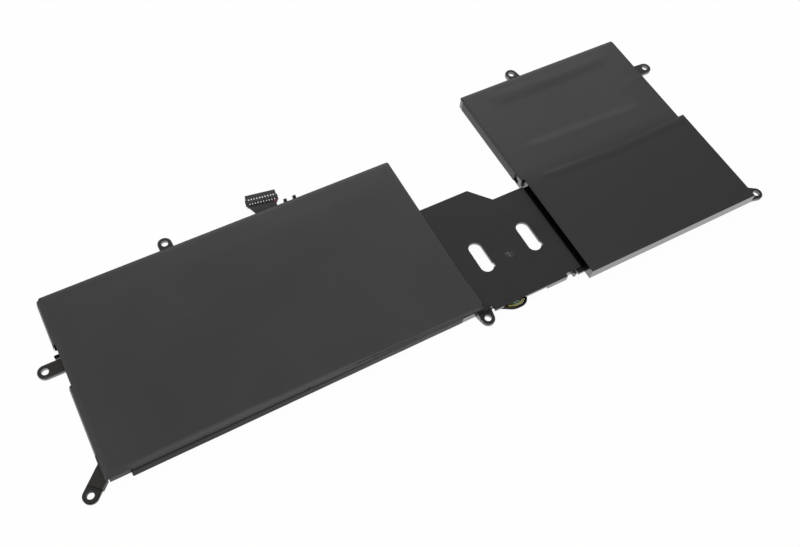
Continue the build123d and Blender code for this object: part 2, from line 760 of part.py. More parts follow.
harness_z = board_z1 + harness_wire / 2 + wire_space
bend_y = left_y1 + harness_straight
for way, offset_number in enumerate(way_offsets, start=1):
    wire_x = harness_middle + offset_number * harness_pitch
    way_x = offset_number * plug_pitch
    entry = plug_frame.from_local_coords((way_x, -plug_depth / 2 - plug_approach, plug_wire_z))
    end = plug_frame.from_local_coords((way_x, -plug_depth / 2 + wire_in_plug, plug_wire_z))
    route = [Vector(wire_x, harness_start_y, harness_z), Vector(wire_x, bend_y, harness_z), entry, end]
    finish(round_cord(route, [1.2, 1.2], harness_wire), f"harness_wire_{way}")

# The tape holds them flat, fans out with them and ends just short of the plug
tape_half = (harness_ways - 1) * harness_pitch / 2 + harness_wire / 2 + wire_space
fan_half = (harness_ways - 1) * plug_pitch / 2 + harness_wire / 2 + wire_space
tape_height = harness_wire + 2 * wire_space
fan_end = plug_frame.from_local_coords((0, -plug_depth / 2 - plug_approach, plug_wire_z))
sections = [
    Plane(origin=(harness_middle, left_y1 + 0.1, harness_z), x_dir=(1, 0, 0), z_dir=(0, 1, 0)),
    Plane(origin=(harness_middle, bend_y, harness_z), x_dir=(1, 0, 0), z_dir=(0, 1, 0)),
    Plane(origin=fan_end, x_dir=plug_frame.x_dir, z_dir=plug_frame.y_dir),
]
with BuildPart() as harness_tape:
    for margin, mode in ((film, Mode.ADD), (0.0, Mode.SUBTRACT)):
        for start, end, half, end_half in (
            (sections[0], sections[1], tape_half, tape_half),
            (sections[1], sections[2], tape_half, fan_half),
        ):
            with BuildSketch(start):
                Rectangle(2 * (half + margin), tape_height + 2 * margin)
            with BuildSketch(end):
                Rectangle(2 * (end_half + margin), tape_height + 2 * margin)
            loft(ruled=True, mode=mode)
finish(harness_tape, "harness_tape")

# Temperature sensor taped on the terrace of cell 2
with BuildPart() as temperature_sensor:
    sensor_x = (left_tab_xs[2] + left_tab_xs[3]) / 2
    with Locations((sensor_x, left_cell_y1 - terrace / 2, sensor_z + sensor_size / 2)):
        Box(2 * sensor_size, sensor_size, sensor_size)
    fillet(temperature_sensor.edges().filter_by(Axis.X), sensor_size / 4)
finish(temperature_sensor, "temperature_sensor")
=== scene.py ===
import math
import bmesh
import bpy
from mathutils import Matrix, Vector, noise


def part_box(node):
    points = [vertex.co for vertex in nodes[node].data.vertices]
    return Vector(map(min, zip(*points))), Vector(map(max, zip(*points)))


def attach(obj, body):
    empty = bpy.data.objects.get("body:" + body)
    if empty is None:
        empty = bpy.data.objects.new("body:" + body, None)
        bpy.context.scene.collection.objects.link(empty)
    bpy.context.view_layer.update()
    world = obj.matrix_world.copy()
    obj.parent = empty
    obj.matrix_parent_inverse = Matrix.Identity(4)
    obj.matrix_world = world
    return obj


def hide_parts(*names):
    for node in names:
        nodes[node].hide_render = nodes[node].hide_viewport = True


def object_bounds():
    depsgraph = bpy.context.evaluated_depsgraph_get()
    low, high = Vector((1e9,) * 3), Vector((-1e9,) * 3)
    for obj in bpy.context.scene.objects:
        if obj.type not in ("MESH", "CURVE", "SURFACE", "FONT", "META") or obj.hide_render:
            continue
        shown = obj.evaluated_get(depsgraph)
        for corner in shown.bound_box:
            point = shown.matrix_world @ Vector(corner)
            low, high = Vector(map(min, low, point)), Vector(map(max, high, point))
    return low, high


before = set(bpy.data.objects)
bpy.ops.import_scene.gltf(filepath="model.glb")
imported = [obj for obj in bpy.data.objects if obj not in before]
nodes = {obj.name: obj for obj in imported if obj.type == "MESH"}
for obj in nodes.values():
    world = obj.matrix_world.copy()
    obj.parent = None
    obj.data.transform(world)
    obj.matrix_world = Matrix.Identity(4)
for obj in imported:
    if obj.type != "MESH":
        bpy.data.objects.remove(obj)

cad_low, cad_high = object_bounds()
MM = 0.001


# Shader helpers: the nodes, patterns and finishes that the pieces below share. A pattern is sized
# in millimetres and fixed to its object, so a grain has the same size wherever it is used.
def linear(hex_colour):
    """sRGB hex to the linear colour that a shader takes."""
    parts = [int(hex_colour[place:place + 2], 16) / 255 for place in (0, 2, 4)]
    channels = [c / 12.92 if c <= 0.04045 else ((c + 0.055) / 1.055) ** 2.4 for c in parts]
    return (*channels, 1.0)


def add_node(tree, kind, settings=None, inputs=None):
    """Adds a node, sets its properties, and fills or links its inputs."""
    node = tree.nodes.new(kind)
    for name, value in (settings or {}).items():
        setattr(node, name, value)
    for name, value in (inputs or {}).items():
        if isinstance(value, bpy.types.NodeSocket):
            tree.links.new(value, node.inputs[name])
        else:
            node.inputs[name].default_value = value
    return node


def new_material(name, colour, roughness, metallic=0.0, ior=1.5):
    """A material with its Principled shader ready, as (material, tree, shader)."""
    material = bpy.data.materials.new(name)
    material.use_nodes = True
    tree = material.node_tree
    shader = tree.nodes["Principled BSDF"]
    shader.inputs["Base Color"].default_value = linear(colour)
    shader.inputs["Roughness"].default_value = roughness
    shader.inputs["Metallic"].default_value = metallic
    shader.inputs["IOR"].default_value = ior
    return material, tree, shader


def object_position(tree, scale=(1.0, 1.0, 1.0)):
    """Object coordinates, stretched where a pattern runs one way."""
    place = add_node(tree, "ShaderNodeTexCoord")
    return add_node(
        tree, "ShaderNodeMapping", inputs={"Vector": place.outputs["Object"], "Scale": scale}
    ).outputs["Vector"]


def grain(tree, size_mm, detail=4.0, roughness=0.5, stretch=(1.0, 1.0, 1.0)):
    """Noise whose features are about size_mm across."""
    return add_node(
        tree, "ShaderNodeTexNoise",
        inputs={
            "Vector": object_position(tree, stretch), "Scale": 1 / (size_mm * MM),
            "Detail": detail, "Roughness": roughness,
        },
    ).outputs["Fac"]


def spread(tree, value, low, high, to_low=0.0, to_high=1.0):
    """Maps a value's useful range to another one."""
    return add_node(
        tree, "ShaderNodeMapRange",
        inputs={
            "Value": value, "From Min": low, "From Max": high, "To Min": to_low, "To Max": to_high,
        },
    ).outputs["Result"]


def times(tree, first, second):
    """Product of two values."""
    return add_node(
        tree, "ShaderNodeMath", {"operation": "MULTIPLY"}, {0: first, 1: second}
    ).outputs[0]


def blend_colours(tree, factor, first, second):
    """Mixes two hex colours or sockets by a factor."""
    mix = add_node(tree, "ShaderNodeMix", {"data_type": "RGBA"}, {0: factor})
    for place, colour in ((6, first), (7, second)):
        if isinstance(colour, str):
            mix.inputs[place].default_value = linear(colour)
        else:
            tree.links.new(colour, mix.inputs[place])
    return mix.outputs[2]


def spot(tree, place_mm, radius_mm, core):
    """A soft round patch of a surface: 1 inside core of its radius, 0 beyond the radius."""
    away = add_node(
        tree, "ShaderNodeVectorMath", {"operation": "DISTANCE"},
        {0: object_position(tree), 1: Vector(place_mm) * MM},
    ).outputs["Value"]
    return spread(tree, away, core * radius_mm * MM, radius_mm * MM, 1.0, 0.0)


def along(tree, axis):
    """One object coordinate, for a tone that changes along a piece."""
    split = add_node(tree, "ShaderNodeSeparateXYZ", inputs={"Vector": object_position(tree)})
    return split.outputs[axis]


def relief(tree, shader, height, depth_mm, strength):
    """Bump of a real depth."""
    bump = add_node(
        tree, "ShaderNodeBump",
        inputs={"Height": height, "Distance": depth_mm * MM, "Strength": strength},
    )
    tree.links.new(bump.outputs["Normal"], shader.inputs["Normal"])


def textured(name, colour, roughness, texture, metallic=0.0):
    """A plain material with one relief, given as its grain's size, detail, depth and strength."""
    size_mm, detail, depth_mm, strength = texture
    material, tree, shader = new_material(name, colour, roughness, metallic)
    relief(tree, shader, grain(tree, size_mm, detail), depth_mm, strength)
    return material


def numbered(name, count):
    """The names of a numbered set of nodes."""
    return [f"{name}_{number}" for number in range(1, count + 1)]


def dress(material, *names):
    """Gives carried-over CAD nodes their real material."""
    for name in names:
        node = nodes[name]
        node.data.materials.clear()
        node.data.materials.append(material)


# Bottom films: plain black polyester film, 0.15 mm thick, glued under both blocks. The pack lies on
# them, so only their edges and the hidden side show. A film has a dull face with a fine calendered
# grain that the eye reads as an even, slightly cloudy grey.
FILM_GRAIN_MM = 0.6
FILM_CLOUD_MM = 38.0
FILM_CLOUD_RANGE = (0.35, 0.65)
FILM_SHEEN = 0.42


def film_finish(name, low_colour, high_colour, roughness):
    """Matte film: two close greys in soft clouds, and a grain too fine to see one by one."""
    material, tree, shader = new_material(name, low_colour, roughness)
    shader.inputs["Specular IOR Level"].default_value = FILM_SHEEN
    cloud = spread(tree, grain(tree, FILM_CLOUD_MM, 3.0), *FILM_CLOUD_RANGE)
    cloudy = blend_colours(tree, cloud, low_colour, high_colour)
    tree.links.new(cloudy, shader.inputs["Base Color"])
    relief(tree, shader, grain(tree, FILM_GRAIN_MM, 3.0), 0.01, 0.35)
    return material, tree, shader, cloudy


polyester_film = film_finish("calendered_black_polyester_film", "2a2a2b", "2e2e2f", 0.42)[0]
dress(polyester_film, "bottom_film_left", "bottom_film_right")


# Frame: one injection moulding in black ABS and polycarbonate, with both trays, the bridge, the
# screw ears and the clips. Its flat tops are spark-eroded and matte, and its walls, drawn along a
# polished steel, are glossy, apart from painted shade: the walls by the front-left corner keep the
# matte top finish. Marks are given as their place, radius and solid share.
SPARK_GRAIN_MM = 0.5
WALL_TILT = 0.75
GROOVE_FLOOR_MM = 2.0
GROOVE_FLOOR_SPAN_MM = 0.05
# Painted shade: walls this near the front-left corner keep the matte top finish and stay dark.
SHADED_CORNER_MM = 11.0
HOOK_LOW, HOOK_HIGH = (-4.0, 58.4, 0.0), (1.0, 64.0, 0.0)
# The next mark is painted shade: a near-black patch on the bridge plate beside the groove.
GROOVE_EDGE_SHADE = ((124.4, -17.8, 3.2), 5.5, 0.2)
SCUFF = ((106.4, -23.8, 3.2), 2.6, 0.0)
BROWN_EARS = (((-87.0, -42.0, 2.0), 9.5, 0.7), ((-87.0, 11.6, 2.0), 9.5, 0.7))
# The next mark is painted shade: the ear at the bridge's front is darkened.
SHADED_BRIDGE_EAR = ((81.6, -46.2, 2.6), 7.0, 0.65)
POLISHED, PAINTED_SHADE = 1, 2

eroded_face, tree, shader = new_material("spark_eroded_black_abs", "161616", 0.46)
shader.inputs["Specular IOR Level"].default_value = 0.4
dust = spread(tree, grain(tree, 9.0, 5.0, 0.6), 0.45, 0.75)
dusty = blend_colours(tree, dust, "131313", "191918")
# Painted shade: the plate top beside the groove is darkened.
groove_edge_shaded = blend_colours(tree, spot(tree, *GROOVE_EDGE_SHADE), dusty, "0d0d0d")
scratches = spread(tree, grain(tree, 0.9, 4.0, 0.7), 0.5, 0.68)
marked = blend_colours(tree, times(tree, spot(tree, *SCUFF), scratches), groove_edge_shaded, "8c8b88")
for ear in BROWN_EARS:
    marked = blend_colours(tree, spot(tree, *ear), marked, "171411")
# Painted shade: the bridge ear is darkened to near black.
marked = blend_colours(tree, spot(tree, *SHADED_BRIDGE_EAR), marked, "080808")
tree.links.new(marked, shader.inputs["Base Color"])
relief(tree, shader, grain(tree, SPARK_GRAIN_MM, 3.0), 0.015, 0.3)

drawn_wall, tree, shader = new_material("polished_black_abs_wall", "050505", 0.12, ior=2.1)
shader.inputs["Coat Weight"].default_value = 0.4
shader.inputs["Coat Roughness"].default_value = 0.08
relief(tree, shader, grain(tree, 1.2, 3.0, stretch=(1.0, 1.0, 0.1)), 0.01, 0.2)

# Painted shade: a near-black matte finish stands in for the shade on the groove floor and on the
# hook at the notch by the far left flap.
groove_shade_face, tree, shader = new_material("near_black_abs_painted_shade", "040404", 0.85)
shader.inputs["Specular IOR Level"].default_value = 0.1
relief(tree, shader, grain(tree, SPARK_GRAIN_MM, 4.0), 0.03, 0.5)

dress(eroded_face, "frame")
moulding = nodes["frame"].data
moulding.materials.append(drawn_wall)
moulding.materials.append(groove_shade_face)
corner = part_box("top_film_left")[0]
hook_low, hook_high = corner + Vector(HOOK_LOW) * MM, corner + Vector(HOOK_HIGH) * MM
for face in moulding.polygons:
    places = [moulding.vertices[number].co for number in face.vertices]
    low_x, low_y = min(at.x for at in places), min(at.y for at in places)
    kept_dark_corner = low_x < corner.x + SHADED_CORNER_MM * MM and low_y < corner.y + SHADED_CORNER_MM * MM
    off_floor = abs(face.center.z - GROOVE_FLOOR_MM * MM)
    # The hook and the groove floor take the painted-shade finish.
    if hook_low.x < face.center.x < hook_high.x and hook_low.y < face.center.y < hook_high.y:
        face.material_index = PAINTED_SHADE
    # Painted shade: walls by the front-left corner are left matte, not glossy, so they stay dark.
    elif abs(face.normal.z) < WALL_TILT and not kept_dark_corner:
        face.material_index = POLISHED
    elif face.normal.z > 0 and off_floor < GROOVE_FLOOR_SPAN_MM * MM:
        face.material_index = PAINTED_SHADE


# Cells: lithium polymer pouches in soft aluminium laminate, heat-sealed at the sides and folded.
# They are sealed between the films, and the foil is satin with a faint crinkle.
CELLS = 4
pouch_foil = textured(
    "embossed_aluminium_pouch_laminate", "b9babc", 0.34, (2.5, 4.0, 0.04, 0.4), metallic=0.9
)
dress(pouch_foil, *numbered("cell", CELLS))
cell_tape = textured("double_sided_tissue_tape", "d8d5cb", 0.75, (0.8, 4.0, 0.02, 0.4))
dress(cell_tape, *numbered("cell_tape", CELLS))


# Tabs and links: the positive tabs are rolled aluminium, the negative ones and the links nickel
# strip, with the fine lines of rolling along them. They are spot-welded.
def rolled_strip(name, colour, roughness):
    """Metal strip with the lines of rolling along x."""
    material, tree, shader = new_material(name, colour, roughness, 1.0)
    relief(tree, shader, grain(tree, 0.3, 3.0, stretch=(0.05, 1.0, 1.0)), 0.008, 0.5)
    return material


dress(rolled_strip("rolled_aluminium_strip", "d4d5d6", 0.3), *numbered("tab_positive", CELLS))
nickel_strip = rolled_strip("rolled_nickel_strip", "c3beb2", 0.32)
dress(nickel_strip, *numbered("tab_negative", CELLS), "link_strip_left", "link_strip_right")


# Protection board: glass-epoxy board under green solder mask, with its soldered parts, a sheet of
# amber insulating film over them and a dipped temperature sensor on the next cell.
solder_mask, tree, shader = new_material("green_solder_mask_on_glass_epoxy", "17452a", 0.28)
weave = spread(tree, grain(tree, 0.7, 2.0), 0.4, 0.6)
tree.links.new(blend_colours(tree, weave, "164128", "1b4d30"), shader.inputs["Base Color"])
dress(solder_mask, "circuit_board")
dress(
    textured("epoxy_moulding_compound", "1d1d1e", 0.5, (0.2, 2.0, 0.01, 0.4)),
    "gauge_chip", "protection_chip", "charge_switch", "discharge_switch", "shunt_resistor",
)
dress(textured("glazed_fuse_ceramic", "cfcabf", 0.3, (0.4, 2.0, 0.005, 0.3)), "cell_fuse")
dress(textured("fired_barium_titanate", "8f7258", 0.45, (0.2, 2.0, 0.005, 0.3)), "capacitors")
dress(textured("amber_polyimide_film", "b3701c", 0.25, (6.0, 2.0, 0.05, 0.3)), "board_insulator")
dress(textured("dipped_black_epoxy", "151515", 0.2, (0.7, 2.0, 0.02, 0.3)), "temperature_sensor")


# Bridge wires: two heavy black ones and three thin sense wires in PVC, extruded and slightly
# glossy. They leave through the window under the bridge's front edge, bow out and go back in.
def extruded_pvc(name, colour):
    """Wire insulation with the faint unevenness of extrusion."""
    return textured(name, colour, 0.32, (0.5, 2.0, 0.01, 0.25))


soft_black = extruded_pvc("soft_black_silicone_insulation", "040404")
soft_black.node_tree.nodes["Principled BSDF"].inputs["Specular IOR Level"].default_value = 0.2
dress(soft_black, "bridge_wire_black_1", "bridge_wire_black_2")
dress(extruded_pvc("extruded_yellow_pvc", "94871a"), "bridge_wire_yellow")
dress(extruded_pvc("extruded_green_pvc", "17503a"), "bridge_wire_green")
dress(extruded_pvc("extruded_grey_white_pvc", "8f9092"), "bridge_wire_white")


# Harness: ten short wires from the board to the plug, bound flat with black tape. The last is red.
WAYS = 10
dress(extruded_pvc("extruded_black_pvc", "131314"), *numbered("harness_wire", WAYS - 1))
dress(extruded_pvc("extruded_red_pvc", "b23340"), f"harness_wire_{WAYS}")
cloth_tape = textured("black_acetate_cloth_tape", "1b1b1b", 0.7, (0.4, 2.0, 0.03, 0.6))
dress(cloth_tape, "harness_tape", "channel_tape")


# Plug: moulded black nylon with ten ways, and stamped tinned contacts that show in its windows.
nylon = textured("moulded_black_nylon", "1c1c1c", 0.42, (0.3, 2.0, 0.01, 0.3))
dress(nylon, "plug_housing")
tin = textured("bright_tin_plate", "faf8f4", 0.3, (0.3, 2.0, 0.005, 0.3), metallic=0.3)
dress(tin, "plug_contacts")


# Back of the plug: a comb of nylon teeth stands between the ways, and in each gap the crimped
# barrel of the contact shows. Each row is grown by a Geometry Nodes tree that repeats one form
# along the plug.
PLUG_PITCH = 1.25
PLUG_TURN = -9.5
PLUG_FROM_EDGE = 8.1
PLUG_X = 21.95
COMB_Y = -2.25
TOOTH = (0.5, 0.62, 0.8)
TOOTH_Z = 2.33
TOOTH_BEVEL = 0.06
BARREL_RADIUS = 0.3
BARREL_LENGTH = 0.6
BARREL_SIDES = 16
BARREL_Z = 2.3
BARREL_BEVEL = 0.05


def row_of_forms(name, shape):
    """Tree that repeats a block or a barrel along a row, with the row's sizes as named inputs."""
    tree = bpy.data.node_groups.new(name, "GeometryNodeTree")
    tree.is_modifier = True
    face = tree.interface
    face.new_socket("Geometry", in_out="OUTPUT", socket_type="NodeSocketGeometry")
    for label, kind in (
        ("Count", "NodeSocketInt"), ("Pitch", "NodeSocketFloat"), ("Size", "NodeSocketVector"),
        ("Place", "NodeSocketVector"), ("Turn", "NodeSocketVector"),
        ("Finish", "NodeSocketMaterial"),
    ):
        face.new_socket(label, in_out="INPUT", socket_type=kind)
    given = tree.nodes.new("NodeGroupInput").outputs
    step = add_node(tree, "ShaderNodeCombineXYZ", inputs={"X": given["Pitch"]})
    row = add_node(
        tree, "GeometryNodeMeshLine", {"mode": "OFFSET"},
        {"Count": given["Count"], "Offset": step.outputs[0]},
    )
    if shape == "block":
        block = add_node(tree, "GeometryNodeMeshCube", inputs={"Size": given["Size"]})
        form = block.outputs["Mesh"]
    else:
        parts = add_node(tree, "ShaderNodeSeparateXYZ", inputs={"Vector": given["Size"]}).outputs
        barrel = add_node(
            tree, "GeometryNodeMeshCylinder",
            inputs={"Vertices": BARREL_SIDES, "Radius": parts["X"], "Depth": parts["Y"]},
        ).outputs["Mesh"]
        form = add_node(
            tree, "GeometryNodeTransform",
            inputs={"Geometry": barrel, "Rotation": (math.pi / 2, 0.0, 0.0)},
        ).outputs["Geometry"]
    copies = add_node(
        tree, "GeometryNodeInstanceOnPoints",
        inputs={"Points": row.outputs["Mesh"], "Instance": form},
    )
    real = add_node(
        tree, "GeometryNodeRealizeInstances", inputs={"Geometry": copies.outputs["Instances"]}
    )
    placed = add_node(
        tree, "GeometryNodeTransform",
        inputs={
            "Geometry": real.outputs["Geometry"], "Translation": given["Place"],
            "Rotation": given["Turn"],
        },
    )
    finished = add_node(
        tree, "GeometryNodeSetMaterial",
        inputs={"Geometry": placed.outputs["Geometry"], "Material": given["Finish"]},
    )
    result = tree.nodes.new("NodeGroupOutput")
    tree.links.new(finished.outputs["Geometry"], result.inputs["Geometry"])
    return tree


def grown_piece(name, tree, settings, bevel_mm):
    """Runs a tree on an empty mesh, rounds its edges, and keeps the result as a plain mesh."""
    piece = bpy.data.objects.new(name, bpy.data.meshes.new(name))
    bpy.context.scene.collection.objects.link(piece)
    grow = piece.modifiers.new("grow", "NODES")
    grow.node_group = tree
    for socket in tree.interface.items_tree:
        if socket.in_out == "INPUT":
            grow[socket.identifier] = settings[socket.name]
    edge = piece.modifiers.new("edge", "BEVEL")
    edge.width = bevel_mm * MM
    edge.segments = 2
    solid = bpy.data.meshes.new_from_object(
        piece.evaluated_get(bpy.context.evaluated_depsgraph_get())
    )
    piece.modifiers.clear()
    piece.data = solid
    solid.name = name
    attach(piece, "root")
    return piece


def along_plug(x, y, z):
    """A place in the plug's own frame, in metres in the shared frame."""
    plug_centre = Vector((PLUG_X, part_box("top_film_left")[1][1] / MM + PLUG_FROM_EDGE, 0.0))
    turn = Matrix.Rotation(math.radians(PLUG_TURN), 3, "Z")
    return (plug_centre + turn @ Vector((x, y, z))) * MM


plug_spin = (0.0, 0.0, math.radians(PLUG_TURN))
comb = grown_piece("plug_comb", row_of_forms("row_of_teeth", "block"), {
    "Count": WAYS + 1, "Pitch": PLUG_PITCH * MM, "Size": Vector(TOOTH) * MM,
    "Place": along_plug(-WAYS * PLUG_PITCH / 2, COMB_Y, TOOTH_Z), "Turn": plug_spin,
    "Finish": nylon,
}, TOOTH_BEVEL)
barrels = grown_piece("crimp_barrels", row_of_forms("row_of_barrels", "barrel"), {
    "Count": WAYS, "Pitch": PLUG_PITCH * MM,
    "Size": Vector((BARREL_RADIUS, BARREL_LENGTH, 0.0)) * MM,
    "Place": along_plug(-(WAYS - 1) * PLUG_PITCH / 2, COMB_Y, BARREL_Z), "Turn": plug_spin,
    "Finish": tin,
}, BARREL_BEVEL)


# Cover film of the left block: one sheet of matte black polyester bonded to the rim, folded out
# over the front wall and twice down the left wall. It is drawn over the cells, so it crowns a
# little, rolls down at its edges, and keeps a faint crease and a few waves along the front fold.
FILM_MM = 0.15
GRID_MM = 1.5
EDGE_STEPS_MM = (0.25, 0.5, 0.8, 1.2)
ON_LINE_MM = 0.01
CORNER_STEPS = 5
FOLD_STEPS = 5
FOOT_STEPS = 4
SHEET_ROW, FOOT_ROW = 0.3, 0.7


def smooth(value, low, high):
    """Rises from 0 to 1 between low and high, with soft ends."""
    part = min(1.0, max(0.0, (value - low) / (high - low)))
    return part * part * (3 - 2 * part)


def distance_to(x, y, points):
    """Distance from a place to a line of points."""
    here = Vector((x, y))
    nearest = math.inf
    for start, end in zip(points, points[1:]):
        start, run = Vector(start), Vector(end) - Vector(start)
        part = min(1.0, max(0.0, (here - start).dot(run) / run.length_squared))
        nearest = min(nearest, (here - start - run * part).length)
    return nearest


def ridges(x, y, lines):
    """Sum of rounded ridges along lines of points, with widths and heights; a valley is below 0."""
    return sum(
        height * math.exp(-((distance_to(x, y, points) / width) ** 2))
        for points, width, height in lines
    )


def waves(x, y, sizes):
    """Slow unevenness of a sheet that nothing stretches, each wave with its size and height."""
    return sum(
        height * noise.noise(Vector((x / size, y / size, SHEET_ROW))) for size, height in sizes
    )


def rounded(centre, radius, start_angle):
    """A quarter turn round a corner's centre, from an angle in degrees."""
    angles = [
        math.radians(start_angle + 90 * step / CORNER_STEPS) for step in range(CORNER_STEPS + 1)
    ]
    return [
        (centre[0] + radius * math.cos(angle), centre[1] + radius * math.sin(angle))
        for angle in angles
    ]


def lay_sheet(outline, cuts, top, height_at):
    """A flat outline, divided by lines across it, and lifted by a height at each point."""
    form = bmesh.new()
    form.faces.new([form.verts.new((x, y, 0.0)) for x, y in outline])
    for axis, places in enumerate(cuts):
        across = Vector((1.0, 0.0, 0.0)) if axis == 0 else Vector((0.0, 1.0, 0.0))
        for place in places:
            bmesh.ops.bisect_plane(
                form, geom=form.verts[:] + form.edges[:] + form.faces[:],
                plane_co=across * place, plane_no=across,
            )
    for vert in form.verts:
        vert.co.z = top + height_at(vert.co.x, vert.co.y)
    return form


def lines_across(low, high, edges):
    """Cut places: an even grid, and closer lines inside the edges, where the sheet rolls down."""
    places = [low + GRID_MM * number for number in range(1, int((high - low) / GRID_MM) + 1)]
    for edge, inward in edges:
        places += [edge + inward * step for step in EDGE_STEPS_MM]
    return sorted(places)


def fold_flap(form, on_bend, axis, turn_at, foot_at):
    """Adds a flap: from each vertex on the bend, a rounded fold and a straight run to its foot."""
    bend = sorted(
        (vert for vert in form.verts if on_bend(vert.co)), key=lambda vert: vert.co[axis]
    )
    columns = []
    for vert in bend:
        start, (corner, leave), foot = vert.co.copy(), turn_at(vert.co), foot_at(vert.co)
        column = [vert]
        for step in range(1, FOLD_STEPS + 1):
            t = step / FOLD_STEPS
            column.append(form.verts.new(
                start * (1 - t) ** 2 + corner * (2 * t * (1 - t)) + leave * t ** 2
            ))
        for step in range(1, FOOT_STEPS + 1):
            column.append(form.verts.new(leave.lerp(foot, step / FOOT_STEPS)))
        columns.append(column)
    for near, far in zip(columns, columns[1:]):
        for first, second, third, fourth in zip(near, near[1:], far[1:], far):
            form.faces.new((first, second, third, fourth))


def finish_film(form, name, node, materials, on_fold=None):
    """Makes the form a smooth closed film of its real thickness, in place of its CAD sheet."""
    bmesh.ops.recalc_face_normals(form, faces=form.faces)
    if sum(face.normal.z * face.calc_area() for face in form.faces) < 0:
        bmesh.ops.reverse_faces(form, faces=form.faces)
    for face in form.faces:
        face.smooth = True
    bmesh.ops.scale(form, vec=(MM, MM, MM), verts=form.verts)
    mesh = bpy.data.meshes.new(name)
    form.to_mesh(mesh)
    form.free()
    piece = bpy.data.objects.new(name, mesh)
    bpy.context.scene.collection.objects.link(piece)
    for material in materials:
        mesh.materials.append(material)
    if on_fold:
        for face in mesh.polygons:
            face.material_index = int(on_fold(face))
    body = piece.modifiers.new("thickness", "SOLIDIFY")
    body.thickness = FILM_MM * MM
    body.offset = -1.0
    body.use_even_offset = False
    solid = bpy.data.meshes.new_from_object(
        piece.evaluated_get(bpy.context.evaluated_depsgraph_get())
    )
    piece.modifiers.clear()
    piece.data = solid
    solid.name = name
    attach(piece, "root")
    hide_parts(node)


CORNER_MM = 1.0
FLAP_LOW = 0.3
FLAP_RUN = 1.5
FOLD_IN = 0.5
FLAP_IN_LEFT, FLAP_IN_RIGHT = 10.0, 10.4
FLAP_CUT = 0.1
NEAR_FLAP, NEAR_FLAP_END = 12.2, 43.75
NEAR_FLAP_FLARE = 1.5
FAR_FLAP = 62.55
CORNER_IN = 0.25
TONGUE = 1.2
TONGUE_DROP = 0.45
TONGUE_ROOT, TONGUE_TIP = (2.0, 14.0), (3.0, 12.5)
left_low, left_high = (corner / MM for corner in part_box("top_film_left"))
left_x0, left_y0 = left_low.x, left_low.y
left_x1, left_y1 = left_high.x - TONGUE, left_high.y
left_top = left_high.z
west = left_x0 + FLAP_RUN
flap_from, flap_to = left_x0 + FLAP_IN_LEFT, left_x1 - FLAP_IN_RIGHT

EDGE_OUT = 0.1
EDGE_ROLL = 0.2
EDGE_ROLL_WIDTH = 1.6
CROWN = 0.55
CROWN_WIDTH = 14.0
FRONT_OUT = 0.4
FRONT_ROLL_WIDTH = 3.0
FRONT_ROLL_CLOSER = 1.6
FRONT_CLOSES = (-5.0, 50.0)
CALM_WIDTH = 6.0
LEFT_LIFT_WIDTH = 1.5
CREASE = [(-27.3, 10.6), (-29.6, -8.4), (-27.7, -19.2), (-24.1, -37.6)]
FRONT_WAVE = [(-70.0, -40.0), (-31.6, -40.0), (10.0, -41.2), (47.5, -42.0)]
FRONT_HOLLOW_IN = 3.6
FRONT_HOLLOW = [(x, y + FRONT_HOLLOW_IN) for x, y in FRONT_WAVE]
LEFT_WAVES = ((34.0, 0.12), (11.0, 0.02))
LEFT_RIDGES = ((CREASE, 2.0, 0.14), (FRONT_WAVE, 2.2, 0.1), (FRONT_HOLLOW, 2.6, -0.04))

left_film_outline = (
    [(flap_from, left_y0 + FLAP_RUN), (flap_to, left_y0 + FOLD_IN), (flap_to + FLAP_CUT, left_y0),
     (left_x1, left_y0), (left_x1, left_y0 + TONGUE_ROOT[0]),
     (left_x1 + TONGUE, left_y0 + TONGUE_TIP[0]), (left_x1 + TONGUE, left_y0 + TONGUE_TIP[1]),
     (left_x1, left_y0 + TONGUE_ROOT[1])]
    + rounded((left_x1 - CORNER_MM, left_y1 - CORNER_MM), CORNER_MM, 0)
    + rounded((west + CORNER_MM, left_y1 - CORNER_MM), CORNER_MM, 90)
    + [(west, left_y0 + NEAR_FLAP), (left_x0 + CORNER_IN, left_y0 + NEAR_FLAP),
       (left_x0 + CORNER_IN, left_y0 + FLAP_RUN)]
)


def front_bend(x):
    """Where the sheet bends over the front wall."""
    part = min(1.0, max(0.0, (x - flap_from) / (flap_to - flap_from)))
    return left_y0 + FLAP_RUN + (FOLD_IN - FLAP_RUN) * part


def left_height(x, y):
    """How far the left sheet stands above its rim."""
    front = y - front_bend(x)
    edge = min(left_y1 - y, left_x1 - x, x - west)
    crown = EDGE_ROLL * smooth(edge, -EDGE_OUT, EDGE_ROLL_WIDTH)
    crown += (CROWN - EDGE_ROLL) * smooth(edge, 0.0, CROWN_WIDTH)
    front_width = FRONT_ROLL_WIDTH - FRONT_ROLL_CLOSER * smooth(x, *FRONT_CLOSES)
    crown *= smooth(front, -FRONT_OUT, front_width)
    edge = min(edge, front)
    lift = waves(x, y, LEFT_WAVES) * smooth(edge, 0.0, CALM_WIDTH) + ridges(x, y, LEFT_RIDGES)
    droop = TONGUE_DROP * max(0.0, x - left_x1) ** 2 / TONGUE ** 2
    return crown + lift * smooth(edge, 0.0, LEFT_LIFT_WIDTH) - droop


left_cuts = (
    lines_across(west, left_x1 + TONGUE, ((west, 1), (left_x1, -1), (left_x1, 1))),
    lines_across(left_y0, left_y1, (
        (left_y0 + FOLD_IN, 1), (left_y0 + FLAP_RUN, 1), (left_y0 + 2 * FLAP_RUN, 1), (left_y1, -1),
    )),
)
left_form = lay_sheet(left_film_outline, left_cuts, left_top, left_height)

